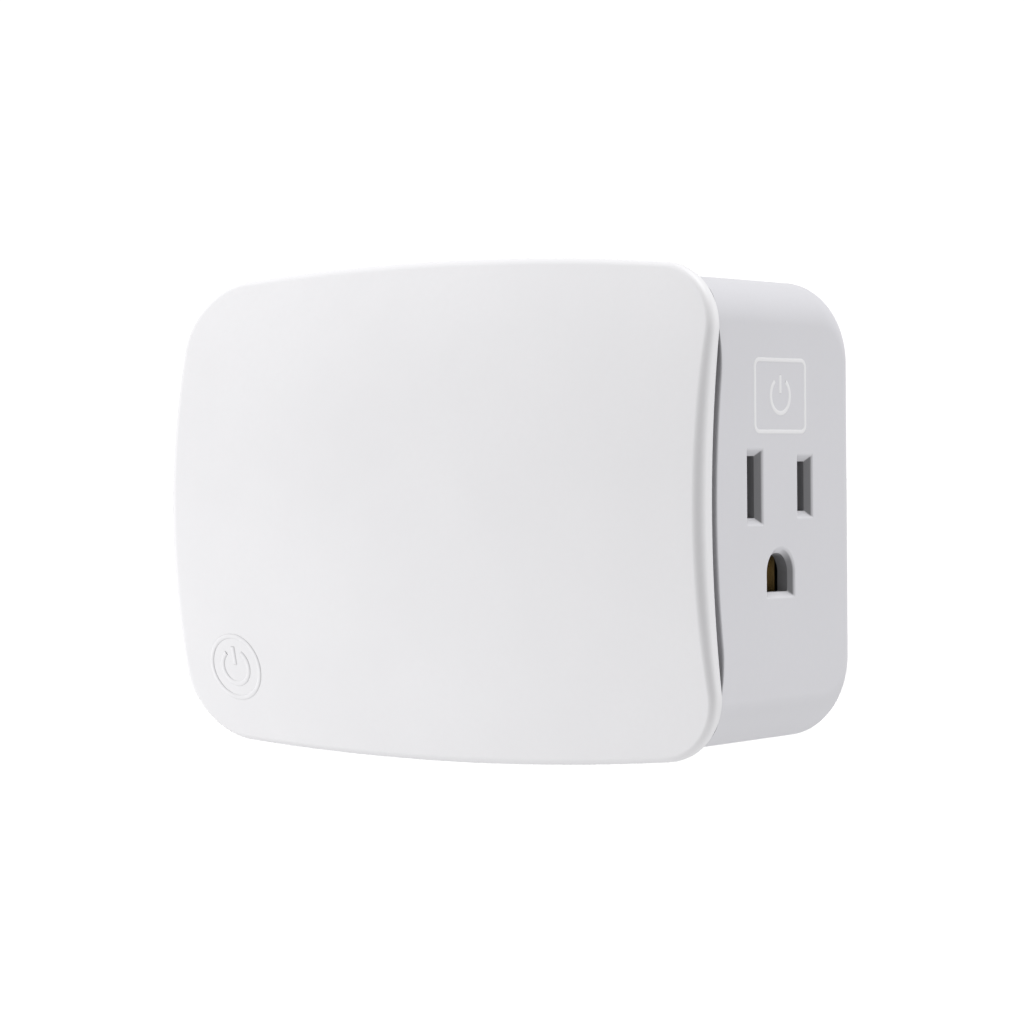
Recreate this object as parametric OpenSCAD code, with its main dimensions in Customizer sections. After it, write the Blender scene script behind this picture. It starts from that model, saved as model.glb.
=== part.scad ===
// Plug-in smart switch with an outlet on each side.
// X runs across the front, Y runs from the front face to the wall, Z is up, and all sizes are in millimetres.
// The origin is the centre of the flat back, where it meets the wall plate.

/* [Front cover] */
// Width of the front cover
cover_w = 95.2; // [94.9:0.1:95.9]
// Height of the front cover at its middle
cover_h = 71.3; // [70.6:0.1:72.4]
// Distance from the wall to the front of the cover
total_depth = 40.9; // [40.8:0.1:41.4]
// Corner radius of the cover's outline
cover_corner_r = 9.7; // [8:0.1:12]
// How far the front face falls back from its middle to its top and bottom edges
face_sag = 6.8; // [6.4:0.1:7]
// How far the front face falls back from its middle to its side edges
face_side_sag = 0.6; // [0.4:0.1:0.8]
// How far the rim's back edge falls back from its middle to its top and bottom
rim_sag = 5.1; // [5:0.1:5.4]
// Thickness of the rim at the middle of a side
rim_t = 3; // [2.8:0.1:3.2]
// How far the top and bottom edges fall towards the corners
top_bow = 2.57; // [2:0.01:2.7]
// How far the side edges pull in towards the corners
side_bow = 0.4; // [0.2:0.1:0.6]

/* [Housing] */
// Width of the housing
body_w = 93.2; // [93:0.1:93.4]
// Height of the housing at its front
body_h = 64.2; // [64:0.1:64.4]
// Radius of the housing's top and bottom corners at the wall
rear_r = 8; // [7.5:0.5:9]
// Radius of the housing's four corners, seen from the front
corner_r = 6.4; // [6:0.1:6.8]
// Rounding between each side face and the back
side_fillet = 2.3; // [1.6:0.1:2.4]
// Wall thickness of the housing
wall_t = 2.4; // [2.3:0.1:2.5]
// How much the housing narrows at the top and at the bottom, from front to wall
draft = 0.2; // [0.1:0.1:0.3]
// Gap between the cover's rim and the housing at the top and bottom
reveal = 0.3; // [0.2:0.1:0.5]
// Gap between the cover's rim and the housing along the vent at each side
vent_gap = 2.4; // [1.2:0.1:2.6]

/* [Outlets] */
// Distance of the outlets' centre from the wall
outlet_from_wall = 19; // [18.8:0.1:19.2]
// Height of the blade slots above the middle of the housing
outlet_z = 3.3; // [3:0.1:3.6]
// Width of the bevel round each blade slot
slot_bevel = 0.95; // [0.5:0.05:1]

/* [Plug] */
// Height of the plug's blades above the middle of the housing
plug_z = 18; // [17.8:0.1:18.2]
// Length of the flat blades outside the back
blade_len = 17; // [15.9:0.1:18.2]
// Length of the ground pin outside the back
pin_len = 20.6; // [19.5:0.1:21.5]

/* [Button] */
// Height of the button above the middle of the housing
button_z = 17.5; // [17.3:0.1:17.7]
// Travel of the button
button_travel = 0.5; // [0.3:0.05:0.5]

/* [Hidden] */

$fn = 48;
eps = 0.01;

// Standard North American plug and outlet sizes
blade_gap = 12.7;
ground_drop = 11.9;
blade_t = 1.5;
blade_h = 6.35;
pin_r = 2.38;

// Colours
white_plastic = [0.93, 0.93, 0.94];
grey_plastic = [0.78, 0.78, 0.80];
black_plastic = [0.16, 0.16, 0.17];
cream_plastic = [0.88, 0.86, 0.78];
brass_metal = [0.80, 0.66, 0.34];
nickel_metal = [0.76, 0.76, 0.78];
copper_metal = [0.72, 0.42, 0.24];
steel_metal = [0.60, 0.61, 0.63];
board_green = [0.13, 0.36, 0.22];
black_sleeve = [0.12, 0.12, 0.12];
white_sleeve = [0.90, 0.90, 0.88];

// Half sizes and planes that the pieces share
cover_hw = cover_w / 2;
cover_hh = cover_h / 2;
body_hw = body_w / 2;
body_hh = body_h / 2;
inner_hw = body_hw - wall_t;
outlet_y = -outlet_from_wall;
board_t = 1.6;
board_rear = -30.1;
board_front = board_rear - board_t;
post_x = 29;
post_z = 23;

// ---------- shared shapes ----------

function unit(v) = v / norm(v);

// Direction of a polyline at point i, and the mitred normal there
function run(p, i) = unit(p[min(i + 1, len(p) - 1)] - p[min(i, len(p) - 2)]);
function side(v) = [-v[1], v[0]];
function mitre(p, i) = let (a = side(run(p, max(i - 1, 0))), b = side(run(p, i))) (a + b) / (1 + a * b);

// Outline of a flat strip of thickness t along the centreline p
function strip(p, t) = concat(
    [for (i = [0:len(p) - 1]) p[i] + mitre(p, i) * t / 2],
    [for (i = [len(p) - 1:-1:0]) p[i] - mitre(p, i) * t / 2]);

// A strip in the XY plane, h wide along Z and centred on it
module stamped(p, t, h) {
    translate([0, 0, -h / 2])
        linear_extrude(h) polygon(strip(p, t));
}

// A box given by its lowest and highest corners
module span(low, high) {
    translate(low) cube(high - low);
}

// A cylinder along +Y from y0 to y1
module rod_y(r, y0, y1) {
    translate([0, y0, 0]) rotate([-90, 0, 0]) cylinder(r = r, h = y1 - y0);
}

// A cylinder along +X from x0 to x1
module rod_x(r, x0, x1) {
    translate([x0, 0, 0]) rotate([0, 90, 0]) cylinder(r = r, h = x1 - x0);
}

// A flat shape with round ends, h long along Z and w wide along Y, from x0 to x1
module pill(w, h, x0, x1) {
    translate([x0, 0, 0]) rotate([90, 0, 90]) linear_extrude(x1 - x0) {
        square([w, h - w], center = true);
        for (s = [-1, 1]) translate([0, s * (h - w) / 2]) circle(d = w);
    }
}

// A rectangular funnel into a side face: w by h at the bottom, wider by the bevel b at the top
module funnel(w, h, b) {
    intersection() {
        translate([0, 0, -h]) linear_extrude(2 * h)
            polygon([[-b, -w / 2], [eps, -w / 2 - b - eps], [eps, w / 2 + b + eps], [-b, w / 2]]);
        rotate([90, 0, 0]) translate([0, 0, -h]) linear_extrude(2 * h)
            polygon([[-b, -h / 2], [eps, -h / 2 - b - eps], [eps, h / 2 + b + eps], [-b, h / 2]]);
    }
}

// A smooth curve through points chosen by hand, with this many steps between each two
curve_steps = 5;
function blend_points(a, b, c, d, t) = 0.5 * ((2 * b) + (c - a) * t
    + (2 * a - 5 * b + 4 * c - d) * pow(t, 2) + (3 * b - a - 3 * c + d) * pow(t, 3));
function curve(p) = let (n = len(p) - 1) concat(
    [for (i = [0:n - 1], k = [0:curve_steps - 1])
        blend_points(p[max(i - 1, 0)], p[i], p[i + 1], p[min(i + 2, n)], k / curve_steps)],
    [p[n]]);
function tangent(p, i) = unit(p[min(i + 1, len(p) - 1)] - p[max(i - 1, 0)]);
function level(u, t) = unit(u - (u * t) * t);
function normals(p, i, u) = i == len(p) ? []
    : let (v = level(u, tangent(p, i))) concat([v], normals(p, i + 1, v));

// A round wire of radius r that follows the curve through the route's points
wire_sides = 8;
module wire(route, r) {
    p = curve(route);
    u = normals(p, 0, [0.36, 0.48, 0.8]);
    last = (len(p) - 1) * wire_sides;
    points = [for (i = [0:len(p) - 1], k = [0:wire_sides - 1])
        let (t = tangent(p, i), a = 360 * k / wire_sides)
        p[i] + r * (cos(a) * u[i] + sin(a) * cross(t, u[i]))];
    walls = [for (i = [0:len(p) - 2], k = [0:wire_sides - 1])
        let (a = i * wire_sides, b = (k + 1) % wire_sides)
        [a + k, a + wire_sides + k, a + wire_sides + b, a + b]];
    ends = [[for (k = [0:wire_sides - 1]) k], [for (k = [wire_sides - 1:-1:0]) last + k]];
    polyhedron(points, concat(walls, ends));
}

// Triangles that join each ring of n points to the next
function joined(rings, n) = [for (i = [0:rings - 2], k = [0:n - 1]) let (a = i * n, b = (k + 1) % n)
    for (t = [[a + k, a + b, a + n + k], [a + b, a + n + b, a + n + k]]) t];

// ---------- front cover ----------

corner_steps = 9;
long_steps = 12;
short_steps = 8;

// A point of the cover's outline drawn in by d, bowed towards the middle of each edge
function bowed(p) = [
    p[0] * (1 - side_bow / cover_hw * pow(p[1] / cover_hh, 2)),
    p[1] * (1 - top_bow / cover_hh * pow(p[0] / cover_hw, 2))];
function corner_point(sx, sz, a, d) = let (r = max(cover_corner_r - d, 0.5))
    [sx * (cover_hw - d - r) + r * cos(a), sz * (cover_hh - d - r) + r * sin(a)];
function between(a, b, n) = [for (k = [1:n - 1]) a + (b - a) * k / n];
function quarter(sx, sz, a0, d) = [for (k = [0:corner_steps])
    corner_point(sx, sz, a0 + 90 * k / corner_steps, d)];
function outline(d) = concat(
    quarter(1, 1, 0, d), between(corner_point(1, 1, 90, d), corner_point(-1, 1, 90, d), long_steps),
    quarter(-1, 1, 90, d), between(corner_point(-1, 1, 180, d), corner_point(-1, -1, 180, d), short_steps),
    quarter(-1, -1, 180, d), between(corner_point(-1, -1, 270, d), corner_point(1, -1, 270, d), long_steps),
    quarter(1, -1, 270, d), between(corner_point(1, -1, 360, d), corner_point(1, 1, 0, d), short_steps));

// Depth of the face and of the rim's back edge at a point of the outline
function face_y(p) = -total_depth + face_side_sag * pow(p[0] / cover_hw, 2)
    + face_sag * pow(p[1] / cover_hh, 2);
function rim_y(p) = -total_depth + face_side_sag + rim_t + rim_sag * pow(p[1] / cover_hh, 2);

// The edge is rounded by a share of the rim's thickness, and the skin is a share of it thick
edge_share = 0.5;
skin_share = 0.62;
rim_w = 2.2;
function edge_r(p) = edge_share * (rim_y(p) - face_y(p));
function skin_y(p) = face_y(p) + skin_share * (rim_y(p) - face_y(p));

// One ring of the shell's points at a given draw-in and depth
function flat_ring(d) = [for (q = outline(d)) bowed(q)];
function rounded_ring(a) = let (edge = flat_ring(0), reach = flat_ring(1))
    [for (i = [0:len(edge) - 1])
        let (r = edge_r(edge[i]), q = edge[i] + (reach[i] - edge[i]) * r * (1 - sin(a)))
        [q[0], face_y(q) + r * (1 - cos(a)), q[1]]];
function scaled_ring(base, k) = [for (q = base) q * k];
function at_face(ring) = [for (q = ring) [q[0], face_y(q), q[1]]];
function at_rim(ring, lift) = [for (q = ring) [q[0], rim_y(q) - lift, q[1]]];
function at_skin(ring) = [for (q = ring) [q[0], skin_y(q), q[1]]];

face_shares = [0.12, 0.3, 0.48, 0.66, 0.82, 0.94];
edge_angles = [18, 36, 54, 72, 90];
rim_soft = 0.3;

module cover_shell() {
    face_ring = [for (q = rounded_ring(0)) [q[0], q[2]]];
    skin_ring = flat_ring(rim_w + 0.6);
    rings = concat(
        [for (k = face_shares) at_face(scaled_ring(face_ring, k))],
        [at_face(face_ring)],
        [for (a = edge_angles) rounded_ring(a)],
        [at_rim(flat_ring(0), rim_soft), at_rim(flat_ring(rim_soft), 0), at_rim(flat_ring(rim_w), 0)],
        [at_skin(skin_ring)],
        [for (i = [len(face_shares) - 1:-1:0]) at_skin(scaled_ring(skin_ring, face_shares[i]))]);
    n = len(rings[0]);
    last = len(rings) - 1;
    front_pole = len(rings) * n;
    points = concat([for (ring = rings, q = ring) q], [[0, face_y([0, 0]), 0], [0, skin_y([0, 0]), 0]]);
    front_cap = [for (k = [0:n - 1]) [front_pole, (k + 1) % n, k]];
    rear_cap = [for (k = [0:n - 1]) [front_pole + 1, last * n + k, last * n + (k + 1) % n]];
    polyhedron(points, concat(joined(len(rings), n), front_cap, rear_cap));
}

// Repeats a piece at each of the four screw posts
module at_posts() {
    for (sx = [-1, 1], sz = [-1, 1]) translate([sx * post_x, 0, sz * post_z]) children();
}

// Radius of a curve that falls back by sag over half of the cover's height
function sag_radius(sag) = (pow(cover_hh, 2) + pow(sag, 2)) / (2 * sag);

skirt_clear = 0.1;
skirt_t = 1.6;
skirt_rear = -29.6;
cover_post_r = 3.6;
screw_bore_r = 1.5;
screw_tip = -36.3;

// The skirt slides into the housing, and the four posts press the board on the housing's posts
module front_cover() {
    skin_mid = 1;
    face_r = sag_radius(face_sag);
    color(white_plastic) difference() {
        union() {
            cover_shell();
            intersection() {
                union() {
                    difference() {
                        housing_inside(wall_t + skirt_clear);
                        housing_inside(wall_t + skirt_clear + skirt_t);
                        span([-cover_hw, skirt_rear, -cover_hh], [cover_hw, 0, cover_hh]);
                    }
                    at_posts() rod_y(cover_post_r, -total_depth, board_front);
                }
                translate([0, face_r - total_depth, 0]) rod_x(face_r - skin_mid, -cover_hw, cover_hw);
            }
        }
        at_posts() rod_y(screw_bore_r, screw_tip - 0.2, board_front + 1);
    }
}

// ---------- housing ----------

// Side view of the housing: round at the wall, and along the reveal at the front.
// It is drawn in by d at the top and bottom, and by back at the wall.
rear_steps = 10;
front_steps = 10;
housing_front = -total_depth + face_side_sag + rim_t + reveal;
function front_edge_y(z) = housing_front + rim_sag * pow(z / cover_hh, 2);
function rear_half(d, back, s) = let (r = rear_r - back)
    [for (k = [0:rear_steps]) let (a = 90 * k / rear_steps)
        [-back - r + r * cos(a), s * (body_hh - draft - d - r + r * sin(a))]];
function reverse(p) = [for (i = [len(p) - 1:-1:0]) p[i]];
function housing_profile(d, back) = concat(
    reverse(rear_half(d, back, -1)), rear_half(d, back, 1),
    [for (k = [0:front_steps]) let (z = (body_hh - d) * (1 - 2 * k / front_steps)) [front_edge_y(z), z]]);

// The same view, open at the front, swept along X
open_front = -42;
module housing_slice(d, x0, x1) {
    front = [[open_front, body_hh - d], [open_front, d - body_hh]];
    profile = concat(reverse(rear_half(d, d, -1)), rear_half(d, d, 1), front);
    translate([x0, 0, 0]) rotate([90, 0, 90]) linear_extrude(x1 - x0) polygon(profile);
}

// What is inside the housing's walls when they are d thick
module housing_inside(d) {
    r = corner_r - d;
    x = body_hw - d;
    z = body_hh - d;
    intersection() {
        housing_slice(d, -body_hw, body_hw);
        union() {
            span([-x, open_front, r - z], [x, 1, z - r]);
            span([r - x, open_front, -z], [x - r, 1, z]);
            for (sx = [-1, 1], sz = [-1, 1]) translate([sx * (x - r), 0, sz * (z - r)]) rod_y(r, open_front, 1);
        }
    }
}

// The housing's outside: the side view swept along X, with round corners and a fillet at the back of each side
corner_turns = 10;
function side_inset(x) = side_fillet - sqrt(pow(side_fillet, 2) - pow(max(0, x - body_hw + side_fillet), 2));
module housing_blank() {
    right = [for (k = [0:corner_turns]) let (a = 90 * k / corner_turns, x = body_hw - corner_r * (1 - cos(a)))
        [x, corner_r * (1 - sin(a)), side_inset(x)]];
    cuts = concat(right, [for (c = reverse(right)) [-c[0], c[1], c[2]]]);
    n = len(housing_profile(0, 0));
    points = [for (c = cuts, q = housing_profile(c[1], c[2])) [c[0], q[0], q[1]]];
    last = (len(cuts) - 1) * n;
    ends = [[for (k = [n - 1:-1:0]) k], [for (k = [0:n - 1]) last + k]];
    polyhedron(points, concat(joined(len(cuts), n), ends));
}

// The slots of one outlet, cut into a face at x = 0 that looks along +X, with the long slot towards -Y
neutral_slot_h = 8.5;
line_slot_h = 6.9;
slot_w = 2.15;
ground_slot_r = 2.8;
ground_slot_low = 2.6;
ground_bevel = 0.8;
slot_room = 6;
module outlet_slots(depth) {
    bevel_out = ground_bevel + eps;
    for (slot = [[-blade_gap / 2, neutral_slot_h], [blade_gap / 2, line_slot_h]])
        translate([0, slot[0], 0]) {
            span([-depth, -slot_w / 2, -slot[1] / 2], [eps, slot_w / 2, slot[1] / 2]);
            funnel(slot_w, slot[1], slot_bevel);
        }
    translate([0, 0, -ground_drop]) {
        intersection() {
            union() {
                rod_x(ground_slot_r, -depth, eps);
                translate([-ground_bevel, 0, 0]) rotate([0, 90, 0])
                    cylinder(r1 = ground_slot_r, r2 = ground_slot_r + bevel_out, h = bevel_out);
            }
            span([-depth, -slot_room, 0], [1, slot_room, slot_room]);
        }
        span([-depth, -ground_slot_r, -ground_slot_low], [eps, ground_slot_r, 0]);
        intersection() {
            funnel(2 * ground_slot_r, 2 * ground_slot_low, ground_bevel);
            span([-depth, -slot_room, -slot_room], [1, slot_room, 0]);
        }
    }
}

// Moves a piece of an outlet, drawn at x = 0 on a face that looks along +X, to the right or the left side
module on_side(s) {
    translate([s * body_hw, outlet_y, outlet_z]) rotate([0, 0, s > 0 ? 0 : 180]) children();
}

post_r = 4.2;
head_bore_r = 3.1;
head_seat = -20;
shank_bore_r = 1.7;
button_w = 6.6;
button_h = 12.6;
button_clear = 0.2;
pipe_z = 26.6;
pipe_r = 1;
label_low = [-26, -19];
label_high = [26, -3];
label_recess = 0.25;
blade_clear = 0.1;
pin_seat_r = 2.6;

// The vent at each side: a notch along the wall's front edge, which runs out at both ends
vent_hh = 26.6;
vent_taper = 8.6;
vent_steps = 16;
module side_vents() {
    profile = [for (k = [-vent_steps:vent_steps]) let (z = vent_hh * k / vent_steps)
        [front_edge_y(z) + (vent_gap - reveal) * sin(90 * min(1, (vent_hh - abs(z)) / vent_taper)), z]];
    front = [[open_front, vent_hh], [open_front, -vent_hh]];
    translate([-body_hw - 1, 0, 0]) rotate([90, 0, 90])
        linear_extrude(body_w + 2) polygon(concat(profile, front));
}

// The four screw posts and the ribs that hold the outlet blocks, all rising from the back wall
rib_x = 34;
rib_len = 16;
rib_t = 1.2;
module housing_posts() {
    at_posts() rod_y(post_r, board_rear, 1);
    for (sx = [-1, 1], z = [-9, 5])
        translate([sx * rib_x, 0, z])
            span([-rib_len / 2, outlet_block_rear, -rib_t / 2], [rib_len / 2, 1, rib_t / 2]);
}

module housing() {
    color(grey_plastic) difference() {
        housing_blank();
        difference() {
            housing_inside(wall_t);
            housing_posts();
        }
        at_posts() {
            rod_y(shank_bore_r, board_rear - 1, head_seat + 1);
            rod_y(head_bore_r, head_seat, 1);
        }
        side_vents();
        for (s = [-1, 1]) on_side(s) outlet_slots(wall_t + 1);
        translate([0, outlet_y, button_z])
            pill(button_w + 2 * button_clear, button_h + 2 * button_clear, -body_hw - 1, -inner_hw + 1);
        translate([0, outlet_y, pipe_z]) rod_x(pipe_r, -body_hw - 1, -inner_hw + 1);
        span([label_low[0], -label_recess, label_low[1]], [label_high[0], 1, label_high[1]]);
        for (s = [-1, 1]) translate([s * blade_gap / 2, 0, plug_z])
            span([-blade_t / 2 - blade_clear, -wall_t - 1, -blade_h / 2 - blade_clear],
                [blade_t / 2 + blade_clear, 1, blade_h / 2 + blade_clear]);
        translate([0, 0, plug_z - ground_drop]) rod_y(pin_seat_r, -wall_t - 1, 1);
    }
}

module housing_screws() {
    head_r = 2.8;
    head_t = 2;
    shank_r = 1.45;
    head_rear = head_seat + head_t;
    cross_w = 0.8;
    cross_hw = 1.7;
    cross_depth = 1;
    color(steel_metal) at_posts() difference() {
        union() {
            rod_y(shank_r, screw_tip, head_seat + eps);
            rod_y(head_r, head_seat, head_rear);
        }
        for (a = [0, 90]) rotate([0, a, 0])
            span([-cross_hw, head_rear - cross_depth, -cross_w / 2], [cross_hw, head_rear + 1, cross_w / 2]);
    }
}

module rating_label() {
    label_t = 0.15;
    gap = 0.3;
    color(nickel_metal) span([label_low[0] + gap, -label_recess, label_low[1] + gap],
        [label_high[0] - gap, -label_recess + label_t, label_high[1] - gap]);
}

// ---------- plug ----------

carrier_rear = -8.4;
tab_t = 0.8;
tab_rear = -9.6;
tab_reach = 15;

// A flat blade with a bevelled, drilled tip, and inside the housing a tab bent away from the middle
module blade(s) {
    half_h = blade_h / 2;
    tip = 2;
    hole_from_tip = 4;
    hole_r = 1.6;
    color(nickel_metal) translate([0, 0, plug_z]) {
        difference() {
            translate([s * blade_gap / 2 - blade_t / 2, 0, 0]) rotate([90, 0, 90]) linear_extrude(blade_t)
                polygon([[tab_rear, -half_h], [blade_len - tip, -half_h], [blade_len, tip - half_h],
                    [blade_len, half_h - tip], [blade_len - tip, half_h], [tab_rear, half_h]]);
            translate([s * blade_gap / 2, blade_len - hole_from_tip, 0]) rod_x(hole_r, -blade_t, blade_t);
        }
        bend_x = s * (blade_gap / 2 - blade_t / 2);
        tab_x = s * tab_reach;
        span([min(bend_x, tab_x), tab_rear - tab_t, -half_h], [max(bend_x, tab_x), tab_rear, half_h]);
    }
}

module line_blade() {
    blade(1);
}

module neutral_blade() {
    blade(-1);
}

// A round ground pin with a shoulder in the back wall, a flange behind it and a rivet for the strap
strap_front = -8.8;
strap_rear = -8;
rivet_r = 1.5;
module ground_pin() {
    flange_r = 4;
    nose_r = 1.2;
    color(nickel_metal) translate([0, 0, plug_z - ground_drop]) {
        rod_y(rivet_r, strap_front - 0.6, strap_rear + eps);
        rod_y(flange_r, strap_rear, -5);
        rod_y(pin_seat_r, -5 - eps, 0);
        rod_y(pin_r, -eps, pin_len - pin_r);
        translate([0, pin_len - pin_r, 0]) rotate([-90, 0, 0]) rotate_extrude() {
            intersection() {
                translate([pin_r - nose_r, pin_r - nose_r]) circle(r = nose_r);
                square([pin_r, pin_r]);
            }
            square([pin_r, pin_r - nose_r]);
            square([pin_r - nose_r, pin_r]);
        }
    }
}

// The insulating block that holds the blades and the pin against the back wall
module blade_carrier() {
    half_w = 11;
    top = plug_z + 6;
    bottom = plug_z - ground_drop - 7;
    color(black_plastic) difference() {
        intersection() {
            span([-half_w, carrier_rear, bottom], [half_w, 0, top]);
            housing_slice(wall_t, -inner_hw, inner_hw);
        }
        for (s = [-1, 1]) translate([s * blade_gap / 2, 0, plug_z])
            span([-blade_t / 2, carrier_rear - 1, -blade_h / 2], [blade_t / 2, 1, blade_h / 2]);
        translate([0, 0, plug_z - ground_drop]) {
            rod_y(4, carrier_rear - 1, -5);
            rod_y(pin_seat_r, -6, 0);
        }
        span([-3.2, carrier_rear - 1, bottom - 1], [3.2, strap_rear, plug_z - ground_drop + 4]);
    }
}

// A T-shaped strap that joins the pin to both outlets' ground contacts
strap_w = 6;
tail_reach = 25;
module ground_strap() {
    z = outlet_z - ground_drop;
    end_x = body_hw - tail_reach;
    color(brass_metal) difference() {
        union() {
            span([-end_x, strap_front, z - strap_w / 2], [end_x, strap_rear, z + strap_w / 2]);
            span([-strap_w / 2, strap_front, z], [strap_w / 2, strap_rear, plug_z - ground_drop + 3]);
            for (s = [-1, 1])
                translate([s * (end_x - tab_t / 2), 0, z])
                    span([-tab_t / 2, outlet_y - 2, -strap_w / 2], [tab_t / 2, strap_rear, strap_w / 2]);
        }
        translate([0, 0, plug_z - ground_drop]) rod_y(rivet_r, strap_front - 1, strap_rear + 1);
    }
}

// ---------- outlets ----------

block_inner = -22.5;
pocket_inner = -20.5;
block_half_w = 10.5;
outlet_block_rear = outlet_y + block_half_w;
block_top = 6.5;
block_bottom = -18;
pocket_w = 5.8;
pocket_h = 10.4;
ground_hw = 4.2;
tail_t = 0.8;
tail_w = 3;
ground_tail_z = 1.5;
contact_t = 0.6;

// The insulating block behind one outlet, with a pocket for each contact
module outlet_block() {
    color(black_plastic) difference() {
        span([block_inner, -block_half_w, block_bottom], [-wall_t, block_half_w, block_top]);
        for (s = [-1, 1]) translate([0, s * blade_gap / 2, 0]) {
            span([pocket_inner, -pocket_w / 2, -pocket_h / 2], [0, pocket_w / 2, pocket_h / 2]);
            span([block_inner - 1, -tail_t / 2, -tail_w / 2], [0, tail_t / 2, tail_w / 2]);
        }
        translate([0, 0, -ground_drop]) {
            span([pocket_inner, -ground_hw, -ground_hw], [0, ground_hw, ground_hw]);
            translate([0, 0, ground_tail_z])
                span([block_inner - 1, -tail_t / 2, -tail_w / 2], [0, tail_t / 2, tail_w / 2]);
        }
    }
}

// A sprung fork: leaves half as far apart as root, pinch and mouth say, and a tail through the block
module fork(root, pinch, mouth, h, tail_z = 0) {
    leaf = [[-20, root], [-12, root - 0.2 * (root - pinch)], [-8, pinch], [-5.5, pinch + 0.2], [-3.4, mouth]];
    color(brass_metal) {
        stamped(concat([for (i = [len(leaf) - 1:-1:0]) [leaf[i][0], -leaf[i][1]]], leaf), contact_t, h);
        translate([0, 0, tail_z])
            span([-tail_reach, -tail_t / 2, -tail_w / 2], [-20 + contact_t / 2, tail_t / 2, tail_w / 2]);
    }
}

module blade_fork() {
    fork(2.2, 1, 2.3, blade_h);
}

module pin_fork() {
    translate([0, 0, -ground_drop]) fork(3.3, 2.65, 3.7, strap_w, ground_tail_z);
}

module right_outlet_block() {
    on_side(1) outlet_block();
}

module left_outlet_block() {
    on_side(-1) outlet_block();
}

module right_line_contact() {
    on_side(1) translate([0, blade_gap / 2, 0]) blade_fork();
}

module right_neutral_contact() {
    on_side(1) translate([0, -blade_gap / 2, 0]) blade_fork();
}

module right_ground_contact() {
    on_side(1) pin_fork();
}

module left_line_contact() {
    on_side(-1) translate([0, blade_gap / 2, 0]) blade_fork();
}

module left_neutral_contact() {
    on_side(-1) translate([0, -blade_gap / 2, 0]) blade_fork();
}

module left_ground_contact() {
    on_side(-1) pin_fork();
}

// ---------- leads ----------

// The leads lie between the board's parts and the plug, and their routes are chosen by hand
lead_r = 1.4;
lead_y = tab_rear - tab_t - lead_r;
line_y = outlet_y + blade_gap / 2;
neutral_y = outlet_y - blade_gap / 2;
tail_end = body_hw - tail_reach;
tail_low = outlet_z - tail_w / 2;
tail_high = outlet_z + tail_w / 2;
lead_x = tail_end + 0.8;

module line_lead() {
    color(black_sleeve) wire([[10.4, lead_y, 16], [10.4, lead_y, 20], [12, -13, 23], [17, -15.5, 23.5],
        [20.4, -19, 21], [21, -24, 18.5], [21, board_rear, 18]], lead_r);
}

module neutral_board_lead() {
    color(white_sleeve) wire([[-10.4, lead_y, 16], [-10.4, lead_y, 20], [-12, -13, 23], [-17, -15.5, 22],
        [-21, -18, 18], [-22, -23, 15], [-22, board_rear, 14.5]], lead_r);
}

module neutral_left_lead() {
    color(white_sleeve) wire([[-13.4, lead_y, 20.5], [-13.4, lead_y, 15], [-13.6, lead_y, 10],
        [-15, line_y - 0.4, 5.5], [-18, line_y, 3.6], [-tail_end, line_y, outlet_z]], lead_r);
}

module neutral_right_lead() {
    color(white_sleeve) wire([[-7.4, lead_y, 20.5], [-7.4, lead_y, 16], [-4, lead_y, 12.5], [6, lead_y, 12],
        [15, -13, 11.5], [20, -17, 9.5], [lead_x, -22, 7.5], [lead_x, neutral_y, tail_high]], lead_r);
}

module load_left_lead() {
    color(black_sleeve) wire([[-lead_x, board_rear, -4], [-lead_x, -27, -3.6], [-lead_x, -25, -1.5],
        [-lead_x, neutral_y, tail_low]], lead_r);
}

module load_right_lead() {
    color(black_sleeve) wire([[lead_x, board_rear, -3.5], [lead_x, -24, -3.5], [lead_x, -17, -3.2],
        [lead_x, -13, -1.6], [lead_x, line_y, tail_low]], lead_r);
}

// ---------- board and its parts ----------

board_w = 84;
board_h = 54;

// Draws parts on the board's rear face: +Y away from the board, with its centre at x, z
module on_board(x, z) {
    translate([x, board_rear, z]) children();
}

module main_board() {
    color(board_green) difference() {
        span([-board_w / 2, board_front, -board_h / 2], [board_w / 2, board_rear, board_h / 2]);
        at_posts() rod_y(shank_bore_r, board_front - 1, board_rear + 1);
        for (sx = [-1, 1], sz = [-1, 1])
            translate([sx * board_w / 2, 0, sz * board_h / 2]) rod_y(2.5, board_front - 1, board_rear + 1);
    }
}

// Relay: length along X, height along Y from the board, thickness along Z
relay_x = 0;
relay_z = -20.8;
relay_hl = 14.5;
relay_hw = 6.35;
relay_h = 15.7;
relay_skin = 0.7;
base_t = 1.6;
coil_v = 7.6;
hinge_u = 3.9;
hinge_v = 2.6;
leaf_u = 9.6;
leaf_v = 2;

module on_relay() {
    on_board(relay_x, relay_z) children();
}

module relay_base() {
    half_l = relay_hl - relay_skin;
    half_w = relay_hw - relay_skin;
    color(black_plastic) on_relay() {
        span([-half_l, 0.5, -half_w], [half_l, base_t, half_w]);
        span([6, base_t - eps, -half_w], [6.5, 5, half_w]);
        for (u = [-12, -9, 7.4, 11.8], w = [-3.4, 3.4]) translate([u, 0, w]) rod_y(0.5, 0, 0.5 + eps);
    }
}

module relay_cover() {
    color(black_plastic) on_relay() difference() {
        span([-relay_hl, 0.5, -relay_hw], [relay_hl, relay_h, relay_hw]);
        span([-relay_hl + relay_skin, 0, -relay_hw + relay_skin],
            [relay_hl - relay_skin, relay_h - relay_skin, relay_hw - relay_skin]);
    }
}

bobbin_r = 2.5;
core_r = 1.8;
bobbin_low = -12.2;
bobbin_high = 1.6;
flange_t = 0.8;
winding_r = 4.3;

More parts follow.
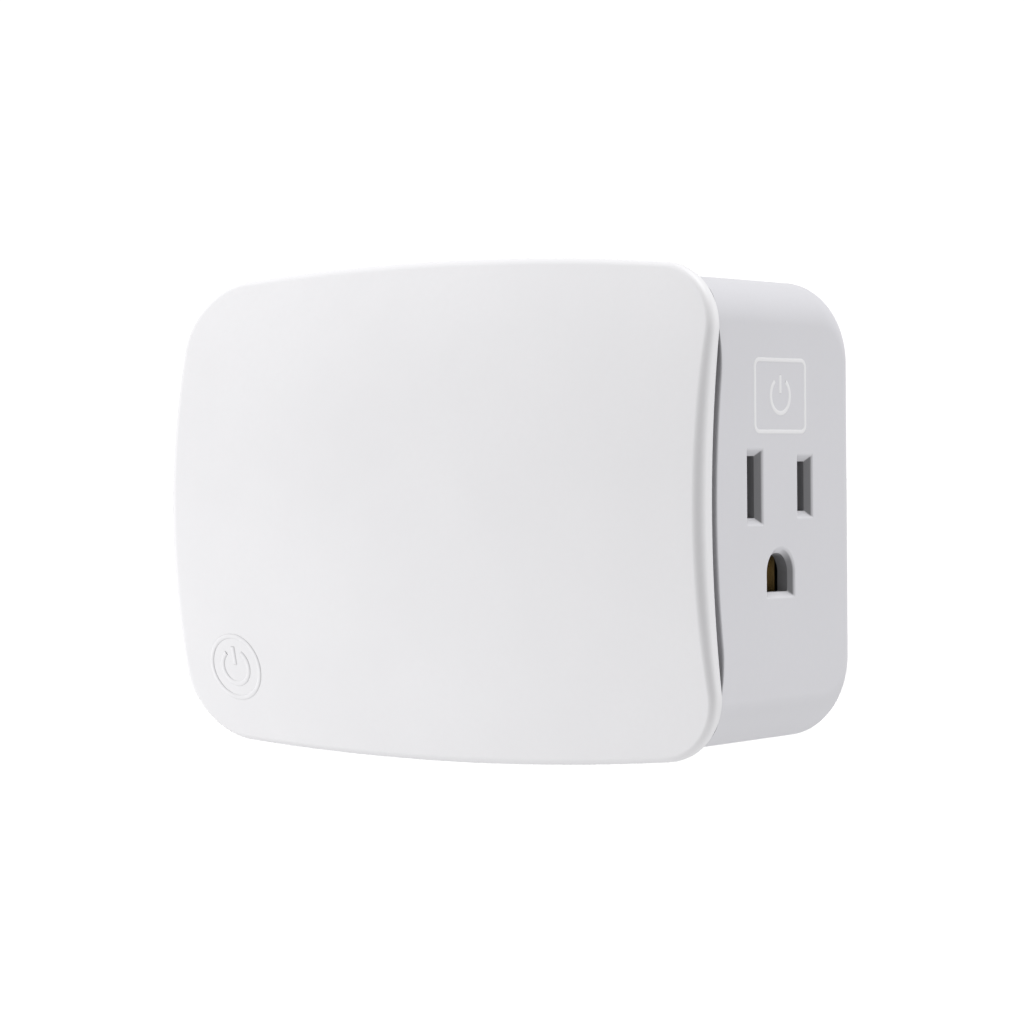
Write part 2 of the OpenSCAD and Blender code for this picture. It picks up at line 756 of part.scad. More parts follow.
module relay_bobbin() {
    color(cream_plastic) on_relay() translate([0, coil_v, 0]) difference() {
        union() {
            rod_x(bobbin_r, bobbin_low, bobbin_high);
            for (u = [bobbin_low, bobbin_high - flange_t])
                span([u, -4.8, -5], [u + flange_t, 4.4, 5]);
        }
        rod_x(core_r, bobbin_low - 1, bobbin_high + 1);
    }
}

module relay_winding() {
    color(copper_metal) on_relay() translate([0, coil_v, 0]) difference() {
        rod_x(winding_r, bobbin_low + flange_t, bobbin_high - flange_t);
        rod_x(bobbin_r, bobbin_low, bobbin_high);
    }
}

yoke_t = 1;
pole_face = 2.6;
module relay_core() {
    color(steel_metal) on_relay() translate([0, coil_v, 0]) {
        rod_x(core_r, bobbin_low, bobbin_high + eps);
        rod_x(3, bobbin_high, pole_face);
    }
}

// The yoke is an L from the back of the core, along the base, to the armature's hinge
module relay_yoke() {
    color(steel_metal) on_relay()
        stamped([[bobbin_low - yoke_t / 2, coil_v + 3.5], [bobbin_low - yoke_t / 2, hinge_v - yoke_t / 2],
            [hinge_u - 0.75, hinge_v - yoke_t / 2]], yoke_t, 9);
}

armature_t = 1;
armature_top = 13.4;
armature_low = 1.9;
armature_u = hinge_u - 0.1;
// The armature rocks on a round bead across its foot
module relay_armature() {
    half_w = 4;
    bead_r = 0.6;
    color(steel_metal) on_relay() {
        translate([armature_u, 0, 0])
            span([-armature_t / 2, armature_low, -half_w], [armature_t / 2, armature_top, half_w]);
        translate([hinge_u, hinge_v, -half_w]) cylinder(r = bead_r, h = 2 * half_w);
    }
}

card_v = 12.3;
card_clear = 0.2;
card_lip = 0.9;
leaf_t = 0.3;
leaf_top = 13.2;
// The card hangs over the armature's tip and the contact leaf, which it pulls along
module relay_card() {
    card_low = armature_u - armature_t / 2 - card_clear - card_lip;
    card_high = leaf_u + leaf_t / 2 + card_clear + card_lip;
    color(cream_plastic) on_relay() difference() {
        span([card_low, card_v, -3], [card_high, 14.4, 3]);
        for (slot = [[armature_u, armature_t, armature_top], [leaf_u, leaf_t, leaf_top]])
            span([slot[0] - slot[1] / 2 - card_clear, card_v - 1, -4],
                [slot[0] + slot[1] / 2 + card_clear, slot[2] + 0.35, 4]);
    }
}

contact_v = 10.2;
contact_r = 1.5;
fixed_u = 7.4;
contact_gap = 0.8;
module relay_moving_contact() {
    half_w = 2.5;
    root_r = 0.35;
    color(copper_metal) on_relay() {
        span([leaf_u - leaf_t / 2, leaf_v, -half_w], [leaf_u + leaf_t / 2, leaf_top, half_w]);
        translate([leaf_u, leaf_v, -half_w]) cylinder(r = root_r, h = 2 * half_w);
        translate([0, contact_v, 0]) rod_x(contact_r, leaf_u - leaf_t / 2 - 0.5, leaf_u);
    }
}

module relay_fixed_contact() {
    strip_t = 0.5;
    face = leaf_u - leaf_t / 2 - 0.5 - contact_gap;
    color(copper_metal) on_relay() {
        span([fixed_u - strip_t / 2, base_t, -2.5], [fixed_u + strip_t / 2, 11.9, 2.5]);
        translate([0, contact_v, 0]) rod_x(contact_r, fixed_u, face);
    }
}

// Transformer: a winding on the middle leg of a core with three legs
transformer_x = -11;
transformer_z = 1;
module transformer_core() {
    leg = 3.2;
    color(black_plastic) on_board(transformer_x, transformer_z) difference() {
        span([-8.5, 2, -3], [8.5, 14, 3]);
        for (s = [-1, 1]) translate([s * 4.1, 0, 0])
            span([-(4.4 - leg / 2) + 0.1, 2 + leg, -4], [(4.4 - leg / 2) - 0.1, 14 - leg, 4]);
    }
}

module transformer_winding() {
    color([0.85, 0.72, 0.25]) on_board(transformer_x, transformer_z) {
        difference() {
            rod_y(6.6, 5.3, 10.7);
            span([-1.4, 0, -3], [1.4, 15, 3]);
            for (s = [-1, 1]) translate([s * 8.5, 0, 0]) span([-1.6, 0, -3], [2, 15, 3]);
        }
        for (sx = [-1, 1], sz = [-1, 1]) translate([sx * 4, 0, sz * 5]) rod_y(0.5, 0, 5.4);
    }
}

// A round can with a crimped groove, standing on the board on two wires
module can(r, h) {
    groove = 0.4;
    difference() {
        rod_y(r, 0.6, h);
        translate([0, 2.4, 0]) difference() {
            rod_y(r + 1, 0, 0.8);
            rod_y(r - groove, -1, 2);
        }
    }
    for (s = [-1, 1]) translate([s * r / 2, 0, 0]) rod_y(0.35, 0, 0.6 + eps);
}

module bulk_capacitor() {
    color(black_plastic) on_board(6.5, -3) can(5, 16);
}

module output_capacitor() {
    color(black_plastic) on_board(16, -6) can(4, 11.5);
}

module film_capacitor() {
    color([0.9, 0.75, 0.3]) on_board(8, 10.5) {
        span([-9, 0.5, -3.5], [9, 13, 3.5]);
        for (s = [-1, 1]) translate([s * 7.5, 0, 0]) rod_y(0.4, 0, 0.5 + eps);
    }
}

module varistor() {
    color([0.25, 0.4, 0.7]) on_board(-10, 14) {
        translate([0, 6.5, -2]) cylinder(r = 5, h = 4);
        for (s = [-1, 1]) translate([s * 2.5, 0, 0]) rod_y(0.4, 0, 3);
    }
}

module fuse() {
    color(cream_plastic) on_board(-15.5, 22.5) {
        rod_y(4.2, 0.4, 7.7);
        for (s = [-1, 1]) translate([s * 2.5, 0, 0]) rod_y(0.4, 0, 0.4 + eps);
    }
}

module bridge_rectifier() {
    color(black_plastic) on_board(0, 22) {
        span([-4.2, 0.6, -3.2], [4.2, 3.6, 3.2]);
        for (u = [-2.5, 2.5], s = [-1, 1]) translate([u, 0, s * 3.7]) {
            span([-0.6, 0, -0.4], [0.6, 1.6, 0.2]);
            span([-0.6, 1, -0.6], [0.6, 1.6, 0.6]);
        }
    }
}

// A drum core with a winding between its flanges
module filter_inductor() {
    color(black_plastic) on_board(14, 21) {
        rod_y(3, 0.5, 8);
        rod_y(3.6, 0.5, 1.7);
        rod_y(3.6, 6.8, 8);
        for (s = [-1, 1]) translate([s * 2, 0, 0]) rod_y(0.35, 0, 0.5 + eps);
    }
}

// Small chips on the board's front face, all with gull-wing legs
module chip(w, h, t, pins, pitch) {
    span([-w / 2, -t, -h / 2], [w / 2, -0.2, h / 2]);
    for (k = [0:pins / 2 - 1], s = [-1, 1])
        translate([(k - (pins / 2 - 1) / 2) * pitch, 0, s * (h / 2 + 0.4)])
            span([-0.2, -0.5, -0.5], [0.2, 0, 0.5]);
}

module control_chips() {
    color(black_plastic) translate([0, board_front, 0]) {
        translate([-10, 0, 8]) chip(5, 4, 1.5, 8, 1.27);
        translate([-14, 0, -8]) chip(7, 6, 1.2, 16, 0.8);
        translate([12, 0, -10]) chip(5, 4, 1.5, 8, 1.27);
    }
}

radio_x = 17;
radio_z = 13;
module radio_board() {
    color(board_green) translate([radio_x, board_front, radio_z]) span([-7, -0.8, -9], [7, 0, 9]);
}

module radio_shield() {
    color(steel_metal) translate([radio_x, board_front - 0.8, radio_z - 2]) difference() {
        span([-6, -1.8, -6], [6, 0, 6]);
        span([-5.8, -1.6, -5.8], [5.8, 1, 5.8]);
    }
}

// ---------- button ----------

plate_rear = -36.5;
button_board_t = 1.2;
switch_front = plate_rear - 3.5;
plunger_tip = -41.2;
plunger_r = 1.7;
plunger_in = 1.2;

// The small board stands on the main board behind the left side wall
module button_board() {
    color(board_green) span([plate_rear, board_rear, 11.5], [plate_rear + button_board_t, -11, 27.3]);
}

module tact_switch() {
    color(black_plastic) translate([0, outlet_y, button_z]) difference() {
        span([switch_front, -3, -3], [plate_rear, 3, 3]);
        rod_x(plunger_r + 0.1, switch_front - 1, switch_front + plunger_in + button_travel + 0.2);
    }
}

module switch_plunger() {
    color(cream_plastic) translate([0, outlet_y, button_z])
        rod_x(plunger_r, plunger_tip, switch_front + plunger_in);
}

cap_front = -body_hw - 0.6;
flange_gap = 0.1;
module button_cap() {
    flange = 1.3;
    flange_low = -inner_hw + flange_gap;
    color(white_plastic) translate([0, outlet_y, button_z]) {
        pill(button_w, button_h, cap_front, flange_low + eps);
        pill(button_w + 2 * flange, button_h + 2 * flange, flange_low, flange_low + 1);
        rod_x(2.2, flange_low + 1 - eps, plunger_tip - 0.05);
    }
}

module status_led() {
    color([0.85, 0.9, 1]) translate([0, outlet_y, pipe_z])
        span([plate_rear - 0.9, -0.8, -0.8], [plate_rear, 0.8, 0.8]);
}

// The collar stands clear of the round corner inside the housing
module light_pipe() {
    collar_r = 1.5;
    collar_front = -inner_hw + 1.2;
    color([0.9, 0.95, 1]) translate([0, outlet_y, pipe_z]) {
        rod_x(pipe_r, -body_hw, collar_front + eps);
        rod_x(collar_r, collar_front, plate_rear - 1.1);
    }
}

front_cover();
housing();
housing_screws();
rating_label();
line_blade();
neutral_blade();
ground_pin();
blade_carrier();
ground_strap();
right_outlet_block();
right_line_contact();
right_neutral_contact();
right_ground_contact();
left_outlet_block();
left_line_contact();
left_neutral_contact();
left_ground_contact();
line_lead();
neutral_board_lead();
neutral_left_lead();
neutral_right_lead();
load_left_lead();
load_right_lead();
main_board();
relay_base();
relay_cover();
relay_bobbin();
relay_winding();
relay_core();
relay_yoke();
relay_armature();
relay_card();
relay_moving_contact();
relay_fixed_contact();
transformer_core();
transformer_winding();
bulk_capacitor();
output_capacitor();
film_capacitor();
varistor();
fuse();
bridge_rectifier();
filter_inductor();
control_chips();
radio_board();
radio_shield();
button_board();
tact_switch();
switch_plunger();
button_cap();
status_led();
light_pipe();
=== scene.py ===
"""Studio picture of a plug-in smart switch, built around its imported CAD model. Sizes are in metres."""

import math

import bmesh
import bpy
import numpy as np
from mathutils import Matrix, Vector


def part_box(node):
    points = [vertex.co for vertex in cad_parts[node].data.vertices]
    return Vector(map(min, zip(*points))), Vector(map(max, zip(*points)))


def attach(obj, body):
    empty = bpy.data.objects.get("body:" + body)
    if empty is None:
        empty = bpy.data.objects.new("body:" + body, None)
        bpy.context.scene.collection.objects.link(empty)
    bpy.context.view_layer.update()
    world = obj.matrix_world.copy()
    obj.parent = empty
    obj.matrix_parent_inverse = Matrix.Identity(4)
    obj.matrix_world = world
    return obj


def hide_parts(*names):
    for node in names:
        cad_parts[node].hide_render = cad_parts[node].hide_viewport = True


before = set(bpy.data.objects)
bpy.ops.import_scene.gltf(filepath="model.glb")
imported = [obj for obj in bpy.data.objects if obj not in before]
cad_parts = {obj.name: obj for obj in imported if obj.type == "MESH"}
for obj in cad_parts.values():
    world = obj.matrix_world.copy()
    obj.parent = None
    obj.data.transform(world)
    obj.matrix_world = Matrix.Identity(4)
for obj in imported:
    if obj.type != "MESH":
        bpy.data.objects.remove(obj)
bpy.context.view_layer.update()
MM = 0.001

# ---------- camera ----------

VIEW_AZIMUTH = 36.96
VIEW_ELEVATION = 0.86
VIEW_ROLL = -0.46
VIEW_DISTANCE = 0.47645
VIEW_TARGET = Vector((0.0168, -0.0409, 0.0001))
LENS_MM = 121.6
SENSOR_MM = 36.0


def toward(azimuth, elevation):
    """The direction of a place seen from the object, in degrees: azimuth 0 is in front, 90 on the right."""
    azimuth, elevation = math.radians(azimuth), math.radians(elevation)
    flat = math.cos(elevation)
    return Vector((math.sin(azimuth) * flat, -math.cos(azimuth) * flat, math.sin(elevation)))


def make_camera():
    data = bpy.data.cameras.new("camera")
    data.lens = LENS_MM
    data.sensor_width = SENSOR_MM
    data.clip_start = 0.01
    data.clip_end = 100.0
    camera = bpy.data.objects.new("camera", data)
    bpy.context.scene.collection.objects.link(camera)
    back = toward(VIEW_AZIMUTH, VIEW_ELEVATION)
    camera.location = VIEW_TARGET + VIEW_DISTANCE * back
    roll = Matrix.Rotation(math.radians(VIEW_ROLL), 3, "Z")
    turn = (-back).to_track_quat("-Z", "Y").to_matrix() @ roll
    camera.rotation_euler = turn.to_euler()
    bpy.context.scene.camera = camera


make_camera()

# ---------- materials ----------


class Shader:
    """A node material under construction, in object coordinates of metres."""

    def __init__(self, name):
        self.material = bpy.data.materials.new(name)
        self.material.use_nodes = True
        self.tree = self.material.node_tree
        self.surface = self.tree.nodes["Principled BSDF"]
        self.coordinates = self.node("TexCoord")
        self.place = self.coordinates.outputs["Object"]

    def node(self, kind, **inputs):
        node = self.tree.nodes.new("ShaderNode" + kind)
        for name, value in inputs.items():
            self.put(node.inputs[name.replace("_", " ")], value)
        return node

    def put(self, socket, value):
        if isinstance(value, bpy.types.NodeSocket):
            self.tree.links.new(value, socket)
        else:
            socket.default_value = value

    def stretched(self, scale):
        return self.node("Mapping", Vector=self.place, Scale=scale).outputs["Vector"]

    def noise(self, size, detail=3.0, place=None, roughness=0.5):
        """Noise between 0 and 1, in lumps of about this size."""
        place = self.place if place is None else place
        node = self.node("TexNoise", Vector=place, Scale=1.0 / size, Detail=detail, Roughness=roughness)
        return node.outputs["Fac"]

    def cells(self, size):
        return self.node("TexVoronoi", Vector=self.place, Scale=1.0 / size).outputs["Distance"]

    def maths(self, operation, first, second=0.0):
        node = self.tree.nodes.new("ShaderNodeMath")
        node.operation = operation
        self.put(node.inputs[0], first)
        self.put(node.inputs[1], second)
        return node.outputs["Value"]

    def bands(self, pitch, axis):
        """Round ridges a pitch apart along an axis."""
        node = self.node("TexWave", Vector=self.place, Scale=math.pi / (10.0 * pitch))
        node.wave_type = "BANDS"
        node.bands_direction = axis
        node.wave_profile = "SIN"
        return node.outputs["Fac"]

    def spread(self, value, low, high, start=0.3, end=0.7):
        """Turns a value from start to end into one from low to high."""
        node = self.node("MapRange", Value=value)
        for name, number in (("From Min", start), ("From Max", end), ("To Min", low), ("To Max", high)):
            node.inputs[name].default_value = number
        return node.outputs["Result"]

    def blend(self, share, first, second):
        node = self.tree.nodes.new("ShaderNodeMix")
        node.data_type = "RGBA"
        self.put(node.inputs[0], share)
        self.put(node.inputs[6], first)
        self.put(node.inputs[7], second)
        return node.outputs[2]

    def crevice(self, reach):
        """A share from 0 in the open to 1 deep in a hole or a gap, from ambient occlusion, used to paint
        shade there.
        """
        node = self.node("AmbientOcclusion", Distance=reach)
        return self.spread(node.outputs["AO"], 1.0, 0.0, 0.25, 0.97)

    def bump(self, height, depth, below=None):
        """Normals for a height map of this depth in metres, on top of another bump."""
        node = self.node("Bump", Height=height, Distance=depth, Strength=1.0)
        if below is not None:
            self.put(node.inputs["Normal"], below)
        return node.outputs["Normal"]

    def finish(self, **inputs):
        for name, value in inputs.items():
            self.put(self.surface.inputs[name.replace("_", " ")], value)
        return self.material


def shade(colour, share):
    """A colour made lighter or darker by a share."""
    return (*(min(1.0, c * (1.0 + share)) for c in colour[:3]), 1.0)


def slot_wall_shade(s):
    """A share of 1 on each outlet slot's side walls, which lie just inside the housing's side faces, where
    shade is painted.
    """
    half_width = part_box("housing")[1].x
    low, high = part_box("right_outlet_block")
    place = s.node("SeparateXYZ", Vector=s.place).outputs
    depth = s.maths("SUBTRACT", half_width, s.maths("ABSOLUTE", place["X"]))
    aside = s.maths("ABSOLUTE", s.maths("SUBTRACT", place["Y"], 0.5 * (low.y + high.y)))
    height = s.maths("ABSOLUTE", place["Z"])
    normal = s.node("SeparateXYZ", Vector=s.coordinates.outputs["Normal"]).outputs
    share = s.spread(s.maths("ABSOLUTE", normal["Y"]), 0.0, 1.0, 0.1, 0.6)
    share = s.maths("MULTIPLY", share, s.spread(depth, 0.0, 1.0, 0.15 * MM, 0.3 * MM))
    share = s.maths("MULTIPLY", share, s.spread(aside, 1.0, 0.0, 9 * MM, 10 * MM))
    return s.maths("MULTIPLY", share, s.spread(height, 1.0, 0.0, 12 * MM, 13 * MM))


def plastic(name, colour, rough=0.5, grain=0.35 * MM, depth=0.004 * MM, variation=0.012, shaded_slots=False):
    """Moulded plastic: fine grain, broad flow marks, a gloss that varies, and painted shade in gaps and
    holes, and on the outlet slot walls if asked.
    """
    s = Shader(name)
    flow = s.noise(22 * MM, 2.0)
    specks = s.noise(0.9 * MM, 4.0)
    tone = s.blend(s.spread(flow, 0.0, 1.0), shade(colour, -variation), shade(colour, variation))
    tone = s.blend(s.spread(specks, 0.0, 0.35), tone, shade(colour, -2.0 * variation))
    # Painted shade: ambient occlusion darkens the colour in gaps and holes.
    tone = s.blend(s.crevice(3 * MM), tone, shade(colour, -0.7))
    # Painted shade on the outlet slot walls, darkest where they face along Y.
    if shaded_slots:
        tone = s.blend(slot_wall_shade(s), tone, shade(colour, -0.65))
    gloss = s.spread(s.noise(5 * MM, 3.0), rough - 0.03, rough + 0.03)
    skin = s.bump(s.noise(grain, 3.0, roughness=0.6), depth)
    skin = s.bump(s.noise(14 * MM, 1.0), 0.006 * MM, skin)
    return s.finish(Base_Color=tone, Roughness=gloss, Normal=skin, IOR=1.46)


def metal(name, colour, rough=0.28, along="Y", tarnish=0.12, crevice_shade=0.75):
    """Plated or stamped metal with fine draw lines along one axis, and painted shade in holes and gaps."""
    s = Shader(name)
    scale = [1.0, 1.0, 1.0]
    scale["XYZ".index(along)] = 0.04
    lines = s.noise(0.12 * MM, 4.0, s.stretched(scale), 0.65)
    stains = s.noise(3 * MM, 4.0)
    tone = s.blend(s.spread(stains, 0.0, 1.0), shade(colour, -tarnish), shade(colour, 0.04))
    # Painted shade: ambient occlusion darkens the metal in holes and gaps.
    tone = s.blend(s.crevice(6 * MM), tone, shade(colour, -crevice_shade))
    gloss = s.spread(lines, rough - 0.08, rough + 0.12)
    skin = s.bump(lines, 0.004 * MM, s.bump(s.noise(0.8 * MM, 3.0), 0.01 * MM))
    return s.finish(Base_Color=tone, Metallic=1.0, Roughness=gloss, Normal=skin)


def wound(name, colour, pitch, axis, gloss=0.3):
    """Enamelled wire wound in close turns along an axis."""
    s = Shader(name)
    turns = s.bands(pitch, axis)
    # Painted shade and highlight: the grooves between turns are darker and the crests lighter.
    tone = s.blend(turns, shade(colour, -0.45), shade(colour, 0.1))
    tone = s.blend(s.spread(s.noise(1.5 * MM, 3.0), 0.0, 0.4), tone, shade(colour, -0.2))
    skin = s.bump(turns, 0.12 * MM)
    rough = s.spread(s.noise(2 * MM, 2.0), gloss - 0.05, gloss + 0.1)
    return s.finish(Base_Color=tone, Metallic=0.6, Roughness=rough, Normal=skin)


def circuit_board(name, mask, copper):
    """Glossy solder mask over glass weave, with tracks showing through as a lighter tone."""
    s = Shader(name)
    lanes = s.node("TexBrick", Vector=s.place, Scale=1.0 / (2.4 * MM))
    lanes.inputs["Mortar Size"].default_value = 0.12
    lanes.inputs["Mortar Smooth"].default_value = 0.2
    track = lanes.outputs["Fac"]
    tone = s.blend(track, mask, copper)
    tone = s.blend(s.spread(s.noise(6 * MM, 3.0), 0.0, 0.4), tone, shade(mask, -0.3))
    weave = s.bump(s.cells(0.45 * MM), 0.01 * MM)
    skin = s.bump(track, 0.03 * MM, weave)
    rough = s.spread(s.noise(3 * MM, 3.0), 0.22, 0.36)
    return s.finish(Base_Color=tone, Roughness=rough, Normal=skin, IOR=1.55)


def ferrite(name, colour):
    """Sintered ceramic: a fine matt grain with darker pits."""
    s = Shader(name)
    pits = s.cells(0.35 * MM)
    tone = s.blend(s.spread(pits, 0.0, 1.0, 0.0, 0.6), shade(colour, -0.4), shade(colour, 0.2))
    skin = s.bump(s.noise(0.25 * MM, 5.0, roughness=0.7), 0.03 * MM, s.bump(pits, 0.02 * MM))
    rough = s.spread(s.noise(2 * MM, 3.0), 0.5, 0.7)
    return s.finish(Base_Color=tone, Roughness=rough, Normal=skin, IOR=1.7)


def coated(name, colour, rough=0.3, lumps=1.2 * MM, depth=0.05 * MM, variation=0.06):
    """A dipped, sleeved or taped part: smooth, slightly uneven and rather glossy."""
    s = Shader(name)
    waves = s.noise(lumps, 3.0)
    tone = s.blend(s.spread(waves, 0.0, 1.0), shade(colour, -variation), shade(colour, variation))
    skin = s.bump(waves, depth, s.bump(s.noise(0.2 * MM, 3.0), 0.004 * MM))
    gloss = s.spread(s.noise(2.5 * MM, 3.0), rough - 0.06, rough + 0.08)
    return s.finish(Base_Color=tone, Roughness=gloss, Normal=skin, IOR=1.5)


def clear(name, colour, rough):
    """Clear or tinted optical plastic with slight haze and scratches."""
    s = Shader(name)
    haze = s.noise(1.2 * MM, 4.0)
    scratch = s.noise(0.08 * MM, 3.0, s.stretched((1.0, 0.05, 1.0)))
    tone = s.blend(s.spread(haze, 0.0, 0.5), colour, shade(colour, -0.08))
    gloss = s.spread(haze, rough, rough + 0.12)
    skin = s.bump(scratch, 0.002 * MM)
    return s.finish(Base_Color=tone, Roughness=gloss, Normal=skin, IOR=1.49, Transmission_Weight=0.6)


def label(name, colour):
    """Blank satin polyester label with a fine fibre and a slight orange peel."""
    s = Shader(name)
    fibre = s.noise(0.15 * MM, 4.0, s.stretched((0.3, 1.0, 1.0)))
    tone = s.blend(s.spread(fibre, 0.0, 1.0), shade(colour, -0.05), shade(colour, 0.03))
    skin = s.bump(s.noise(0.5 * MM, 3.0), 0.008 * MM, s.bump(fibre, 0.003 * MM))
    gloss = s.spread(s.noise(4 * MM, 3.0), 0.26, 0.4)
    return s.finish(Base_Color=tone, Metallic=0.35, Roughness=gloss, Normal=skin)


WHITE = (0.80, 0.795, 0.812)
GREY = (0.655, 0.652, 0.682)
NICKEL = (0.66, 0.65, 0.62)
STEEL = (0.55, 0.55, 0.56)
BRASS = (0.72, 0.52, 0.22)
COPPER = (0.75, 0.36, 0.20)
BLACK = (0.025, 0.025, 0.027)
CREAM = (0.72, 0.68, 0.56)

FINISHES = {
    "cover_white": lambda name: plastic(name, WHITE),
    "housing_grey": lambda name: plastic(name, GREY, rough=0.54, shaded_slots=True),
    "button_white": lambda name: plastic(name, WHITE, rough=0.42),
    "light_pipe_clear": lambda name: clear(name, (0.85, 0.9, 0.95, 1.0), 0.12),
    "led_lens": lambda name: clear(name, (0.9, 0.93, 1.0, 1.0), 0.2),
    "plated_steel": lambda name: metal(name, STEEL, 0.3, "Z"),
    "nickel_plate": lambda name: metal(name, NICKEL, 0.2, "Y", 0.06),
    # For the brass contacts, the last number is how deep the painted shade in holes goes.
    "contact_brass": lambda name: metal(name, BRASS, 0.32, "X", 0.2, 0.93),
    "label_stock": lambda name: label(name, (0.72, 0.73, 0.75)),
    "black_moulding": lambda name: plastic(name, BLACK, 0.5, depth=0.006 * MM, variation=0.1),
    "cream_moulding": lambda name: plastic(name, CREAM, 0.48, depth=0.006 * MM, variation=0.03),
    "black_insulation": lambda name: coated(name, BLACK, 0.35, 2.5 * MM),
    "white_insulation": lambda name: coated(name, (0.75, 0.74, 0.70), 0.35, 2.5 * MM),
    "circuit_board": lambda name: circuit_board(name, (0.02, 0.13, 0.06, 1.0), (0.06, 0.26, 0.11, 1.0)),
    "copper_wire": lambda name: wound(name, COPPER, 0.25 * MM, "X"),
    "ferrite": lambda name: ferrite(name, (0.06, 0.06, 0.065)),
    "winding_tape": lambda name: coated(name, (0.72, 0.50, 0.06), 0.28, 3 * MM, 0.12 * MM),
    "capacitor_sleeve": lambda name: coated(name, (0.02, 0.025, 0.04), 0.25),
    "film_case": lambda name: plastic(name, (0.66, 0.42, 0.06), 0.36, depth=0.01 * MM, variation=0.04),
    "varistor_coat": lambda name: coated(name, (0.05, 0.14, 0.42), 0.34, 1.5 * MM, 0.15 * MM),
}
FINISHES = {slot: make(slot) for slot, make in FINISHES.items()}


def assign_finishes():
    """Gives every CAD node the finish of its own slot, which its imported material is named after."""
    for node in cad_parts.values():
        for place in node.material_slots:
            place.material = FINISHES[place.material.name]


assign_finishes()

# ---------- mesh helpers ----------

# How far a cutting solid stands past the surface that it cuts, and where its rounded lip ends over the face
PAST = 1.0 * MM
FACE_CLEAR = 0.004 * MM

HOUSING_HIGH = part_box("housing")[1]
COVER_LOW, COVER_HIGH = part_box("front_cover")


def mesh_object(name, points, faces):
    """A closed mesh with its normals outwards."""
    mesh = bpy.data.meshes.new(name)
    mesh.from_pydata([tuple(p) for p in points], [], faces)
    work = bmesh.new()
    work.from_mesh(mesh)
    bmesh.ops.recalc_face_normals(work, faces=work.faces)
    work.to_mesh(mesh)
    work.free()
    piece = bpy.data.objects.new(name, mesh)
    bpy.context.scene.collection.objects.link(piece)
    return piece


def loft(name, rings, ends="face"):
    """One closed surface through closed rings of points, ended by flat faces or fans, or closed to a loop."""
    rings = np.asarray(rings)
    count, n = rings.shape[:2]
    points = [tuple(p) for p in rings.reshape(-1, 3)]
    pairs = [(i * n, (i + 1) * n) for i in range(count - 1)]
    if ends == "loop":
        pairs.append(((count - 1) * n, 0))
    faces = [(a + k, a + (k + 1) % n, b + (k + 1) % n, b + k) for a, b in pairs for k in range(n)]
    for i in (0, count - 1):
        ring = [i * n + k for k in range(n)]
        if ends == "face":
            faces.append(tuple(ring))
        elif ends == "fan":
            points.append(tuple(rings[i].mean(axis=0)))
            faces += [(ring[k], ring[(k + 1) % n], len(points) - 1) for k in range(n)]
    return mesh_object(name, points, faces)


def combined(piece, others, operation):
    """Joins others to a piece or cuts them out of it, and uses them up."""
    for other in others:
        change = piece.modifiers.new("boolean", "BOOLEAN")
        change.operation = operation
        change.solver = "EXACT"
        change.object = other
        graph = bpy.context.evaluated_depsgraph_get()
        mesh = bpy.data.meshes.new_from_object(piece.evaluated_get(graph))
        piece.modifiers.clear()
        piece.data = mesh
        bpy.data.objects.remove(other)
    return piece


def finished(piece, slot, sharp=38.0):
    """Gives a piece its finish and body, with smooth shading between its sharp edges."""
    piece.data.materials.clear()
    piece.data.materials.append(FINISHES[slot])
    piece.data.polygons.foreach_set("material_index", [0] * len(piece.data.polygons))
    piece.data.polygons.foreach_set("use_smooth", [True] * len(piece.data.polygons))
    piece.data.set_sharp_from_angle(angle=math.radians(sharp))
    even = piece.modifiers.new("even", "WEIGHTED_NORMAL")
    even.keep_sharp = True
    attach(piece, "casing")


def softened(piece, width):
    """Rounds a CAD piece's sharp edges and shades the rest smoothly."""
    weld = piece.modifiers.new("weld", "WELD")
    weld.merge_threshold = 0.001 * MM
    flat = piece.modifiers.new("flat", "DECIMATE")
    flat.decimate_type = "DISSOLVE"
    flat.angle_limit = math.radians(0.4)
    edge = piece.modifiers.new("edge", "BEVEL")
    edge.width = width
    edge.segments = 3
    edge.limit_method = "ANGLE"
    edge.angle_limit = math.radians(32.0)
    edge.use_clamp_overlap = True
    even = piece.modifiers.new("even", "WEIGHTED_NORMAL")
    even.keep_sharp = True


def arc(radius, start, turn, steps, middle=(0.0, 0.0)):
    angles = np.radians(start + turn * np.arange(steps + 1) / steps)
    return np.array(middle) + radius * np.column_stack([np.cos(angles), np.sin(angles)])


def rounded_box(w, h, r, grow=0.0, steps=6):
    """A rectangle with round corners, made larger all round by grow."""
    u, v = w / 2 - r, h / 2 - r
    corners = ((u, v, 0), (-u, v, 90), (-u, -v, 180), (u, -v, 270))
    return np.vstack([arc(r + grow, start, 90, steps, (x, z)) for x, z, start in corners])


def mitred_box(w, h, r, grow=0.0):
    """The same, with corners that stay as small when it grows."""
    return rounded_box(w + 2 * grow, h + 2 * grow, r)


def disc(r, grow=0.0, steps=48):
    return arc(r + grow, 0, 360, steps)[:-1]


def flared(depth, chamfer, lip):
    """Depth and growth of a hole's walls, from its bottom outwards: straight, chamfered, then rounded."""
    walls = [(-depth, 0.0)]
    start = np.array([-lip, 0.0])
    if chamfer:
        walls += [(-chamfer - lip, 0.0), (-chamfer, 0.0)]
        start = np.array([-lip, chamfer - lip])
    corner, end = np.array([0.0, chamfer]), np.array([FACE_CLEAR, chamfer + lip])
    for t in np.linspace(0, 1, 7):
        walls.append(tuple((1 - t) ** 2 * start + 2 * t * (1 - t) * corner + t * t * end))
    return walls + [(PAST, chamfer + lip)]


def hole(name, outline, walls, place):
    """A solid to cut with. Its outline grows along its depth, and place puts u, v and depth in the model."""
    return loft(name, [[place(u, v, depth) for u, v in outline(grow)] for depth, grow in walls])


# ---------- front cover ----------

